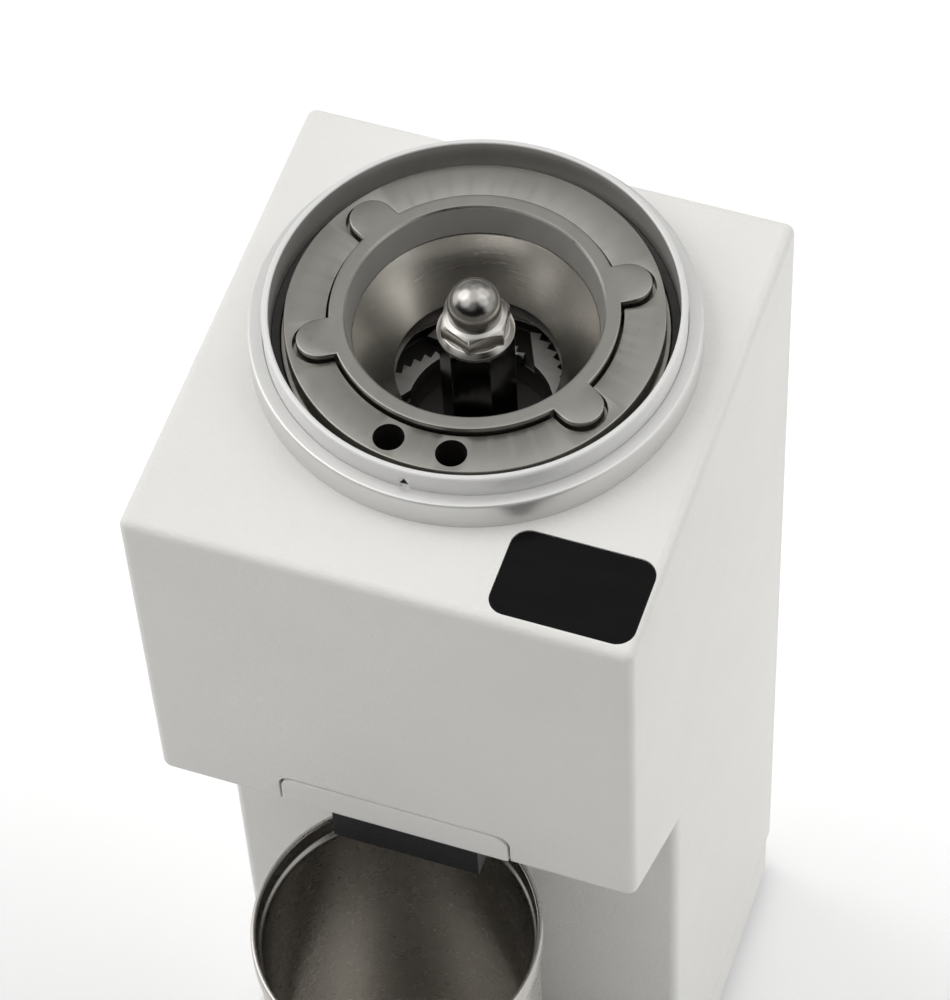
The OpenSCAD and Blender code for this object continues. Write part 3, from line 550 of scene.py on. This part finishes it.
WHITE = (0.90, 0.888, 0.855)
STEEL = (0.375, 0.363, 0.335)
M = {
    "white_coat": coated("white_powder_coat", WHITE),
    "collar_coat": anodised("white_anodised_collar", (0.80, 0.795, 0.78), 0.55),
    "dial_coat": anodised("white_anodised_dial", (0.83, 0.825, 0.81), 0.12),
    "bare_aluminium": satin("bare_aluminium", (0.74, 0.72, 0.69), (0.3, 0.4), 0.05, rings=0.8, metallic=0.65),
    # Near-black for the threaded bore and the index mark, and painted shade on the floor of the groove inside
    # the rim
    "thread": moulded("dark_thread_mark_and_groove_shade", (0.03, 0.03, 0.028), 0.45, 1200, 0.1),
    "satin_steel": satin("satin_steel", STEEL, (0.25, 0.38), 0.07),
    "turned_steel": satin("turned_steel", (0.84, 0.815, 0.765), (0.21, 0.28), 0.035, rings=0.7),
    "mouth_steel": satin("bead_blasted_steel", (0.52, 0.51, 0.48), (0.4, 0.5), 0.05, metallic=0.5),
    "polished_steel": satin("polished_steel", (0.46, 0.445, 0.42), (0.2, 0.25), 0.01, rings=0.5),
    "dark_steel": satin("blackened_column_steel", (0.11, 0.105, 0.10), (0.12, 0.2), 0.01),
    "burr_steel": satin("ground_burr_steel", (0.62, 0.61, 0.58), (0.4, 0.5), 0.06, metallic=0.25),
    # Near-black steel for the burr hub and the floor of the burr's pocket: painted shade of that deep well
    "pocket_shade": satin("dark_well_shade_steel", (0.10, 0.095, 0.09), (0.35, 0.5), 0.08),
    "cast_aluminium": satin("machined_aluminium", (0.62, 0.62, 0.61), (0.32, 0.5), 0.15, rings=0.6),
    "black_plastic": moulded("black_moulded_plastic", (0.022, 0.022, 0.024), 0.48),
    "rubber": moulded("matt_rubber", (0.02, 0.02, 0.02), 0.75, 900, 0.2),
    "red_silicone": moulded("red_silicone", (0.30, 0.05, 0.03), 0.55, 900),
    "brass": satin("machined_brass", (0.66, 0.49, 0.20), (0.22, 0.36), 0.1),
    "copper": wound("enamelled_wire", (0.72, 0.32, 0.12)),
    "motor_steel": moulded("black_painted_steel", (0.05, 0.053, 0.056), 0.38, 1100, 0.1, 0.4),
    "circuit_board": printed_board("solder_mask"),
    "zinc": satin("zinc_plated_steel", (0.60, 0.60, 0.59), (0.2, 0.34), 0.05),
    "display": glossy_glass("display_glass"),
    "turned_cup": satin("turned_cup_steel", (0.56, 0.54, 0.51), (0.26, 0.3), 0.01, wear=0.03),
}


def dress(obj, material, body=None, stands_for=()):
    """Gives a piece its material, and a new piece its body and the nodes that it stands for."""
    obj.data.materials.clear()
    obj.data.materials.append(M[material])
    if body:
        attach(obj, body)
    if stands_for:
        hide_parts(*stands_for)
    return obj


# ---- Body ----


def underside(y):
    return TOP - HEAD_H - (y - FRONT) * DROP / SETBACK


def arched(half, low, high, radius):
    """An upright rectangle with its two upper corners rounded."""
    return softened([(half, low, 0), (half, high, radius), (-half, high, radius), (-half, low, 0)], 8)


def across(a, b, h):
    """Plate axes for pieces that are extruded across the width: a is y, b is z, height is x."""
    return (h, a, b)


def upright(y_first):
    """Plate axes for pieces that stand upright and face front or back: a is x, b is z, height is y."""
    return lambda a, b, h: (a, y_first + h, b)


def make_housing():
    corners = [
        (FRONT, TOP),
        (REAR, TOP),
        (REAR, BASE_TOP),
        (COLUMN_Y, BASE_TOP),
        (COLUMN_Y, underside(COLUMN_Y)),
        (FRONT, underside(FRONT)),
    ]
    body = rounded_block(
        "body_shell", corners, HALF_W, 2.0, spared=lambda p: abs(p.z - BASE_TOP) < 0.01
    )
    lift = WALL / math.cos(math.atan(DROP / SETBACK))
    inner_corners = [
        (FRONT + WALL, TOP - 4),
        (REAR + 1, TOP - 4),
        (REAR + 1, BASE_TOP - 1),
        (COLUMN_Y + WALL, BASE_TOP - 1),
        (COLUMN_Y + WALL, underside(COLUMN_Y + WALL) + lift),
        (FRONT + WALL, underside(FRONT + WALL) + lift),
    ]
    hollow = rounded_block("hollow", inner_corners, HALF_W - WALL, 0.8, segments=2)
    seat = plate("seat", [circle(COLLAR_R - 0.6)], TOP - 6, TOP + 2)
    glass_low, glass_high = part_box("display_glass")
    middle = (glass_low + glass_high) / 2 / MM
    size = (glass_high - glass_low) / MM
    centre = (middle.x, middle.y - SPINDLE_Y)
    pocket_outline = rounded_rect(size.x + 0.2, size.y + 0.2, GLASS_CORNER, centre)
    pocket = plate("pocket", [pocket_outline], TOP - 1.4, TOP + 1)
    window = plate("window", [rounded_rect(size.x - 5, size.y - 5, 1.5, centre)], TOP - 6, TOP)
    cover_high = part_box("chute_cover")[1]
    half = cover_high.x / MM + PANEL_GAP
    head = cover_high.z / MM + PANEL_GAP
    slot_outline = arched(half, head - 60, head, PANEL_CORNER)
    opening = plate(
        "opening", [slot_outline], FRONT - 1, cover_high.y / MM + 0.6, place=upright(0)
    )
    cut(body, hollow, seat, pocket, window, opening)
    tidy(body)
    soften_edges(body, 0.28)
    return dress(body, "white_coat", body="body", stands_for=["housing"])


def make_chute_cover():
    low, high = (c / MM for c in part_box("chute_cover"))
    back = high.y
    face = FRONT - 0.25
    outline = [
        (face, high.z + 4, 0.0),
        (face, underside(face) + 0.3, 1.6),
        (back, underside(back) + 0.3, 0.4),
        (back, underside(back) + 3.5, 0.0),
        (face + 2.6, underside(face + 2.6) + 3.5, 0.0),
        (face + 2.6, high.z + 4, 0.0),
    ]
    panel = plate("spout_panel", [softened(outline)], -high.x, high.x, 0.3, 0.3, place=across)
    # The upper corners are rounded like the opening around them
    keep = arched(high.x + 5, low.z - 5, high.z + 12, 0)
    hole = arched(high.x, low.z - 3, high.z, PANEL_CORNER)
    trim = plate("trim", [keep, hole], face - 3, face + 5, place=upright(0))
    spout = plate(
        "spout_gap",
        [rounded_rect(*SPOUT, 0.6, (0, SPOUT_Y))],
        TOP - 112,
        TOP - 60,
    )
    screw_holes = []
    tilt = -math.atan(DROP / SETBACK)
    screw_y = SPINDLE_Y + PANEL_SCREW_Y
    for x in (-PANEL_SCREW_X, PANEL_SCREW_X):
        hole_tool = lathe("hole", [(0, -2), (3, -2), (3, 1.5), (1.7, 1.5), (1.7, 8), (0, 8)], 48, (0.0, 0.0))
        place = Matrix.Translation(Vector((x, screw_y, underside(screw_y))) * MM)
        hole_tool.matrix_world = place @ Matrix.Rotation(tilt, 4, "X")
        screw_holes.append(hole_tool)
    cut(panel, trim, spout, *screw_holes)
    tidy(panel)
    soften_edges(panel, 0.5, 3)
    return dress(panel, "white_coat", body="body", stands_for=["chute_cover"])


def make_base():
    depth = BASE_REAR - BASE_FRONT
    centre_y = (BASE_REAR + BASE_FRONT) / 2 - SPINDLE_Y
    base = plate(
        "foot_block",
        [rounded_rect(2 * HALF_W, depth, 6, (0, centre_y), 10)],
        BASE_BOTTOM,
        BASE_TOP,
        1.6,
        0.6,
        steps=5,
    )
    disc = [(0, BASE_TOP - 1), (RECESS_PAD_R, BASE_TOP - 1), (RECESS_PAD_R, BASE_TOP + 1), (0, BASE_TOP + 1)]
    recess = lathe("recess", disc, 128, (0, CUP_Y))
    cut(base, recess)
    tidy(base)
    soften_edges(base, 0.3)
    return dress(base, "white_coat", body="body", stands_for=["base"])


def make_cup():
    low, high = (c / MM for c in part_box("dosing_cup"))
    r = high.x - 1
    z0, z1 = low.z, high.z
    outline = softened(
        [
            (0, z0 + 0.6, 0),
            (r - 4, z0 + 0.6, 0.3),
            (r - 3.4, z0, 0.3),
            (r - 0.6, z0, 0.3),
            (r, z0 + 1.2, 1.2),
            (r, z1 - 6, 2.0),
            (r + 1, z1 - 5, 1.0),
            (r + 1, z1, 0.55),
            (r - 0.2, z1, 0.55),
            (r - 0.2, z1 - 4.6, 1.0),
            (r - 1.2, z1 - 5.6, 1.6),
            (r - 1.2, z0 + 2.4, 4.0),
            (0, z0 + 2.4, 0),
        ]
    )
    cup = lathe("cup_shell", outline, FINE, (0, CUP_Y))
    return dress(cup, "turned_cup", body="cup", stands_for=["dosing_cup"])


def make_display():
    low, high = (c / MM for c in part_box("display_glass"))
    middle, size = (low + high) / 2, high - low
    glass = plate(
        "display_window",
        [rounded_rect(size.x, size.y, GLASS_CORNER, (middle.x, middle.y - SPINDLE_Y), 12)],
        low.z,
        high.z - 0.02,
        0.25,
    )
    return dress(glass, "display", body="body", stands_for=["display_glass"])


# ---- Collar and adjusting ring ----


def make_collar():
    outline = softened(
        [
            (COLLAR_R - 0.6, TOP - 4, 0),
            (COLLAR_R - 0.6, TOP + 0.02, 0),
            (COLLAR_R, TOP + 0.02, 0.15),
            (COLLAR_R, COLLAR_TOP, 0.6),
            (RING_R + 0.08, COLLAR_TOP, 0.25),
            (RING_R + 0.08, TOP - 1.8, 0),
            (RING_R + 1.5, TOP - 1.8, 0),
            (RING_R + 1.5, TOP - 4, 0),
        ]
    )
    collar = lathe("fixed_collar", outline, 256)
    return dress(collar, "collar_coat", body="body", stands_for=["collar"])


def make_adjusting_ring():
    thread = CARRIER_R + 0.9
    outline = softened(
        [
            (thread, TOP - 8, 0.2),
            (thread, TOP + 3, 0.2),
            (RIM_R, TOP + 3, 0.3),
            (RIM_R, RING_TOP, 0.35),
            (RING_R, RING_TOP, 0.85),
            (RING_R, TOP - 2, 0),
            (RING_R + 1.2, TOP - 2, 0),
            (RING_R + 1.2, TOP - 3.9, 0),
            (RING_R - 0.4, TOP - 3.9, 0),
            (RING_R - 0.4, TOP - 8, 0),
        ]
    )
    ring = lathe("dial_ring", outline, 256)
    mark = plate(
        "mark",
        [[(-0.9, TOP + 7.4), (0.9, TOP + 7.4), (0, TOP + 9.0)]],
        0,
        1.2,
        place=upright(SPINDLE_Y - RING_R - 0.8),
    )
    cut(ring, mark)
    tidy(ring, 40)
    dress(ring, "dial_coat", body="adjuster", stands_for=["adjusting_ring"])
    ring.data.materials.append(M["bare_aluminium"])
    ring.data.materials.append(M["thread"])
    # The floor of the narrow groove between the rim and the carrier is painted near-black, which is painted
    # shade in that groove; the bore below it and the index mark are dark too
    for face in ring.data.polygons:
        x, y, z = face.center / MM
        radius = math.hypot(x, y - SPINDLE_Y)
        inside = radius < RIM_R + 0.02
        in_mark = abs(x) < 1 and y < SPINDLE_Y and RIM_R + 0.1 < radius < RING_R - 0.04
        if (inside and z < TOP + 3.25) or (in_mark and TOP + 7 < z < TOP + 9.1):
            face.material_index = 2
        elif inside and z < RING_TOP - 0.5:
            face.material_index = 1
    return ring


def make_carrier():
    body = lathe(
        "burr_carrier_ring",
        softened(
            [
                (26, CARRIER_BOTTOM, 0.25),
                (CARRIER_R + 0.82, CARRIER_BOTTOM, 0.3),
                (CARRIER_R + 0.82, TOP + 2.9, 0.25),
                (CARRIER_R, TOP + 2.9, 0),
                (CARRIER_R, CARRIER_TOP, 0.3),
                (RECESS_R, CARRIER_TOP, 0),
                (RECESS_R, TOP + 3.2, 0),
                (26, TOP + 3.2, 0.25),
            ],
            3,
        ),
    )
    pockets = [lobed(RECESS_R - 0.5, 5, 34.9, 0.5), circle(RECESS_R - 1.5)]
    tabs = plate("tabs", pockets, TOP + 5.2, CARRIER_TOP + 1)
    pins = [
        plate("pin", [circle(PIN_R, 40, polar(PIN_CIRCLE, a))], CARRIER_BOTTOM - 1, CARRIER_TOP + 1)
        for a in PIN_ANGLES
    ]
    slots = [
        plate("slot", [[(a, -1.7), (b, -1.7), (b, 1.7), (a, 1.7)]], CARRIER_BOTTOM - 1, TOP - 8)
        for a, b in ((-34.6, -40), (34.6, 40))
    ]
    cut(body, tabs, *pins, *slots)
    tidy(body, 40)
    soften_edges(body, 0.2, 3, 55)
    return dress(body, "satin_steel", body="burr_carrier", stands_for=["upper_burr_carrier"])


def make_funnel():
    skin = 1.2
    funnel = lathe(
        "feed_cone",
        softened(
            [
                (THROAT_R, FUNNEL_BOTTOM, 0.15),
                (THROAT_R + skin, FUNNEL_BOTTOM, 0.15),
                (THROAT_R + skin, TOP - 9.6, 0.6),
                (MOUTH_R + skin, TOP + 1.6, 0.4),
                (MOUTH_R + skin, TOP + 3.25, 0),
                (FUNNEL_R, TOP + 3.25, 0.2),
                (FUNNEL_R, FUNNEL_TOP, 0.3),
                (MOUTH_R + 0.4, FUNNEL_TOP, 0.1),
                (MOUTH_R, FUNNEL_TOP - 0.4, 0.1),
                (MOUTH_R - 0.9, TOP + 2.2, 1.1),
                (THROAT_R, TOP - 9, 0.5),
            ]
        ),
    )
    tabbed = [lobed(FUNNEL_R - 0.6, 4.4, 34.1, 0.3), circle(MOUTH_R + 1)]
    ring = plate("ring", tabbed, TOP + 5.25, FUNNEL_TOP, 0.3, 0.15)
    merge(funnel, ring)
    tidy(funnel, 40)
    dress(funnel, "satin_steel", body="funnel", stands_for=["feed_funnel"])
    funnel.data.materials.append(M["turned_steel"])
    funnel.data.materials.append(M["mouth_steel"])
    for polygon in funnel.data.polygons:
        x, y, z = polygon.center / MM
        radius = math.hypot(x, y - SPINDLE_Y)
        if radius < MOUTH_R + 0.02 and z < FUNNEL_TOP - 0.1:
            polygon.material_index = 2 if z > TOP + 2.6 else 1
    return funnel


# ---- Lower burr ----


def land_outline(start):
    """A feeding land seen from above: round inside, saw-toothed along its spiral outer edge."""
    span, teeth = 67.0, 9
    pitch = span / teeth
    growth = 0.093

    def at(radius, angle):
        return polar(radius, start + angle)

    def spiral(angle):
        return BORE_R + growth * angle

    points = [at(BORE_R + 0.02, a) for a in range(0, 54, 6)]
    points.append(at(spiral(span) - 0.2, span))
    for i in reversed(range(teeth)):
        points.append(at(spiral(i * pitch) + 1.25, i * pitch + 1.2))
        points.append(at(spiral(i * pitch) - 0.2, i * pitch))
    return points


def make_lower_burr():
    bottom, top = edge("lower_burr", 2, False), edge("lower_burr", 2, True)
    outer = edge("lower_burr", 0, True)
    pocket = top - 2.6
    face = TOP - 22.3
    disc = lathe(
        "burr_disc",
        softened(
            [
                (BORE_R, bottom, 0.2),
                (outer, bottom, 0.3),
                (outer, face, 0.3),
                (BURR_POCKET_R, face, 0.2),
                (BURR_POCKET_R, pocket, 0.2),
                (BORE_R, pocket, 0.2),
            ]
        ),
    )
    screws = [
        plate("counterbore", [circle(3, 40, polar(BURR_SCREW_CIRCLE, a))], face - 3.4, face + 1)
        for a in BURR_SCREW_ANGLES
    ]
    cut(disc, *screws)
    tidy(disc, 40)
    lands = [plate("land", [land_outline(13 + 60 * i)], pocket - 0.1, top, 0.12, 0, 2) for i in range(6)]
    burr = join("lower_burr_teeth", [disc, *lands])
    dress(burr, "burr_steel", body="grinding_spindle", stands_for=["lower_burr"])
    burr.data.materials.append(M["pocket_shade"])
    # The pocket floor around the lands gets the near-black steel: painted shade in the deep well
    for polygon in burr.data.polygons:
        x, y, z = polygon.center / MM
        if math.hypot(x, y - SPINDLE_Y) < BURR_POCKET_R + 0.1 and z < top - 0.2:
            polygon.material_index = 1
    return burr


# ---- Spindle end ----


def hexagon(radius, phase, corner, steps=4):
    return softened([(*polar(radius, phase + 60 * i), corner) for i in range(6)], steps)


def make_hex_sleeve():
    sleeve = plate(
        "hex_column", [hexagon(7.45, 8.3, 0.35), circle(4.02, 48)], SLEEVE_BOTTOM, SLEEVE_TOP, 0.3, 0.2
    )
    return dress(sleeve, "dark_steel", body="grinding_spindle", stands_for=["hex_sleeve"])


def make_nut():
    base_z = SLEEVE_TOP + 0.6
    hexed = plate("hexed", [hexagon(7.0, 38.8, 0.3)], base_z + 0.5, base_z + 5.6, 0.0)
    crown = [(4.8, 8), (4.8, 5.62), (5.9, 5.1), (7.6, 3.9), (9, 3.9), (9, 8)]
    chamfer = lathe("chamfer", [(r, base_z + h) for r, h in crown], 96)
    cut(hexed, chamfer)
    tidy(hexed)
    soften_edges(hexed, 0.15)
    skirt = [(3.1, 0, 0), (7.45, 0, 0.15), (7.45, 0.55, 0.2), (6.5, 1.5, 0.4), (3.1, 1.5, 0)]
    flange = lathe("flange", softened([(r, base_z + h, round_r) for r, h, round_r in skirt]), 96)
    radius = 5.1
    centre = NUT_TOP - radius
    dome_outline = [(0, centre - 4.4), (4.75, centre - 4.4), (4.75, centre - 3.2), (radius, centre - 2.6)]
    dome_outline += arc((0, centre), radius, 0, 90, 18)
    dome = lathe("dome", dome_outline, 96)
    nut = join("cap_nut", [hexed, flange, dome])
    return dress(nut, "polished_steel", body="grinding_spindle", stands_for=["acorn_nut"])


# ---- Every piece in turn ----


def refine(node, material, width=0.12, angle=40):
    """A CAD node whose shape is right: its seams are welded, its edges eased, and it gets its material."""
    obj = nodes[node]
    if width:
        weld = obj.modifiers.new("weld", "WELD")
        weld.merge_threshold = 1e-6
        soften_edges(obj, width, 2, angle).modifiers["soft_edges"].harden_normals = False
    return dress(obj, material)


make_housing()
make_chute_cover()
make_base()
make_cup()
make_display()
make_collar()
make_adjusting_ring()
make_carrier()
make_funnel()
make_lower_burr()
make_hex_sleeve()
make_nut()

for node, material in {
    "back_cover": "white_coat",
    "bottom_plate": "motor_steel",
    "cup_pad": "rubber",
    "chute": "black_plastic",
    "power_inlet": "black_plastic",
    "switch_frame": "black_plastic",
    "power_rocker": "black_plastic",
    # The burr hub is painted near-black too: painted shade deep in the well
    "burr_hub": "pocket_shade",
    "lock_washer": "polished_steel",
    "upper_burr": "burr_steel",
}.items():
    refine(node, material)

slots = {s["node"]: s["material_slot"] for s in frame["record"]["subparts"]}
for name, obj in nodes.items():
    if not obj.hide_render and not (obj.data.materials and obj.data.materials[0] in M.values()):
        refine(name, slots[name], 0)


# ---- Studio ----


FLOOR_GLOW = 0.28


def make_stage():
    size = 4000
    floor = mesh_object(
        "floor", [(-size, -size, 0), (size, -size, 0), (size, size, 0), (-size, size, 0)], [[0, 1, 2, 3]]
    )
    n = Nodes("pale_floor", Roughness=0.9)
    n.link("Base Color", n.blend(n.ranged(n.noise(3, 2), 0, 1), (0.88, 0.88, 0.88), (0.9, 0.9, 0.9)))
    # The backdrop behind the object is lit from below, as on a light table
    depth = n.add("ShaderNodeSeparateXYZ", i0=n.place).outputs[1]
    behind = n.ranged(depth, 0, FLOOR_GLOW, (-0.12, 0.10))
    n.shader.inputs["Emission Color"].default_value = (1, 1, 1, 1)
    n.link("Emission Strength", behind)
    floor.data.materials.append(n.material)


# Soft panels of studio light: azimuth from +X, elevation, half width in degrees, strength.
# The strengths began as a fit to the photograph's tones, and were then rounded and adjusted.
PANELS = (
    (0, 12, 30, 0.65),
    (45, 12, 30, 0.65),
    (90, 12, 30, 0.2),
    (135, 12, 30, 0.35),
    (180, 12, 30, 1.15),
    (0, 48, 30, 0.95),
    (45, 48, 30, 1.0),
    (90, 48, 30, 0.45),
    (135, 48, 30, 0.3),
    (180, 48, 30, 2.0),
    (225, 48, 30, 1.0),
    (270, 48, 30, 0.25),
    (0, 90, 35, 0.95),
)


def make_world():
    """A dark studio with soft light panels around the object."""
    world = bpy.data.worlds.new("studio")
    world.use_nodes = True
    tree = world.node_tree
    background = tree.nodes["Background"]
    background.inputs["Color"].default_value = (1, 1, 1, 1)
    towards = tree.nodes.new("ShaderNodeTexCoord").outputs["Generated"]
    total = None
    for azimuth, elevation, width, strength in PANELS:
        a, e = math.radians(azimuth), math.radians(elevation)
        dot = tree.nodes.new("ShaderNodeVectorMath")
        dot.operation = "DOT_PRODUCT"
        tree.links.new(towards, dot.inputs[0])
        dot.inputs[1].default_value = (math.cos(a) * math.cos(e), math.sin(a) * math.cos(e), math.sin(e))
        panel = tree.nodes.new("ShaderNodeMapRange")
        panel.interpolation_type = "SMOOTHSTEP"
        tree.links.new(dot.outputs["Value"], panel.inputs[0])
        panel.inputs[1].default_value = math.cos(math.radians(width))
        panel.inputs[2].default_value = math.cos(math.radians(width * 0.35))
        panel.inputs[4].default_value = strength
        if total is None:
            total = panel.outputs[0]
        else:
            add = tree.nodes.new("ShaderNodeMath")
            tree.links.new(total, add.inputs[0])
            tree.links.new(panel.outputs[0], add.inputs[1])
            total = add.outputs[0]
    tree.links.new(total, background.inputs["Strength"])
    bpy.context.scene.world = world


def make_camera():
    """The photograph's own camera, found by fitting the head's edges and circles."""
    data = bpy.data.cameras.new("camera")
    data.lens = 153.71
    data.sensor_width = 36
    data.clip_start, data.clip_end = 0.05, 20
    camera = bpy.data.objects.new("camera", data)
    bpy.context.scene.collection.objects.link(camera)
    right = Vector((0.94586, 0.32255, -0.03617))
    up = Vector((-0.24751, 0.78890, 0.56247))
    back = right.cross(up)
    turn = Matrix((right, up, back)).transposed().to_4x4()
    camera.matrix_world = Matrix.Translation((0.1770, -0.4174, 0.9005)) @ turn
    bpy.context.scene.camera = camera


make_stage()
make_world()
make_camera()

settings = bpy.context.scene.view_settings
settings.view_transform = "Standard"
settings.look = "None"
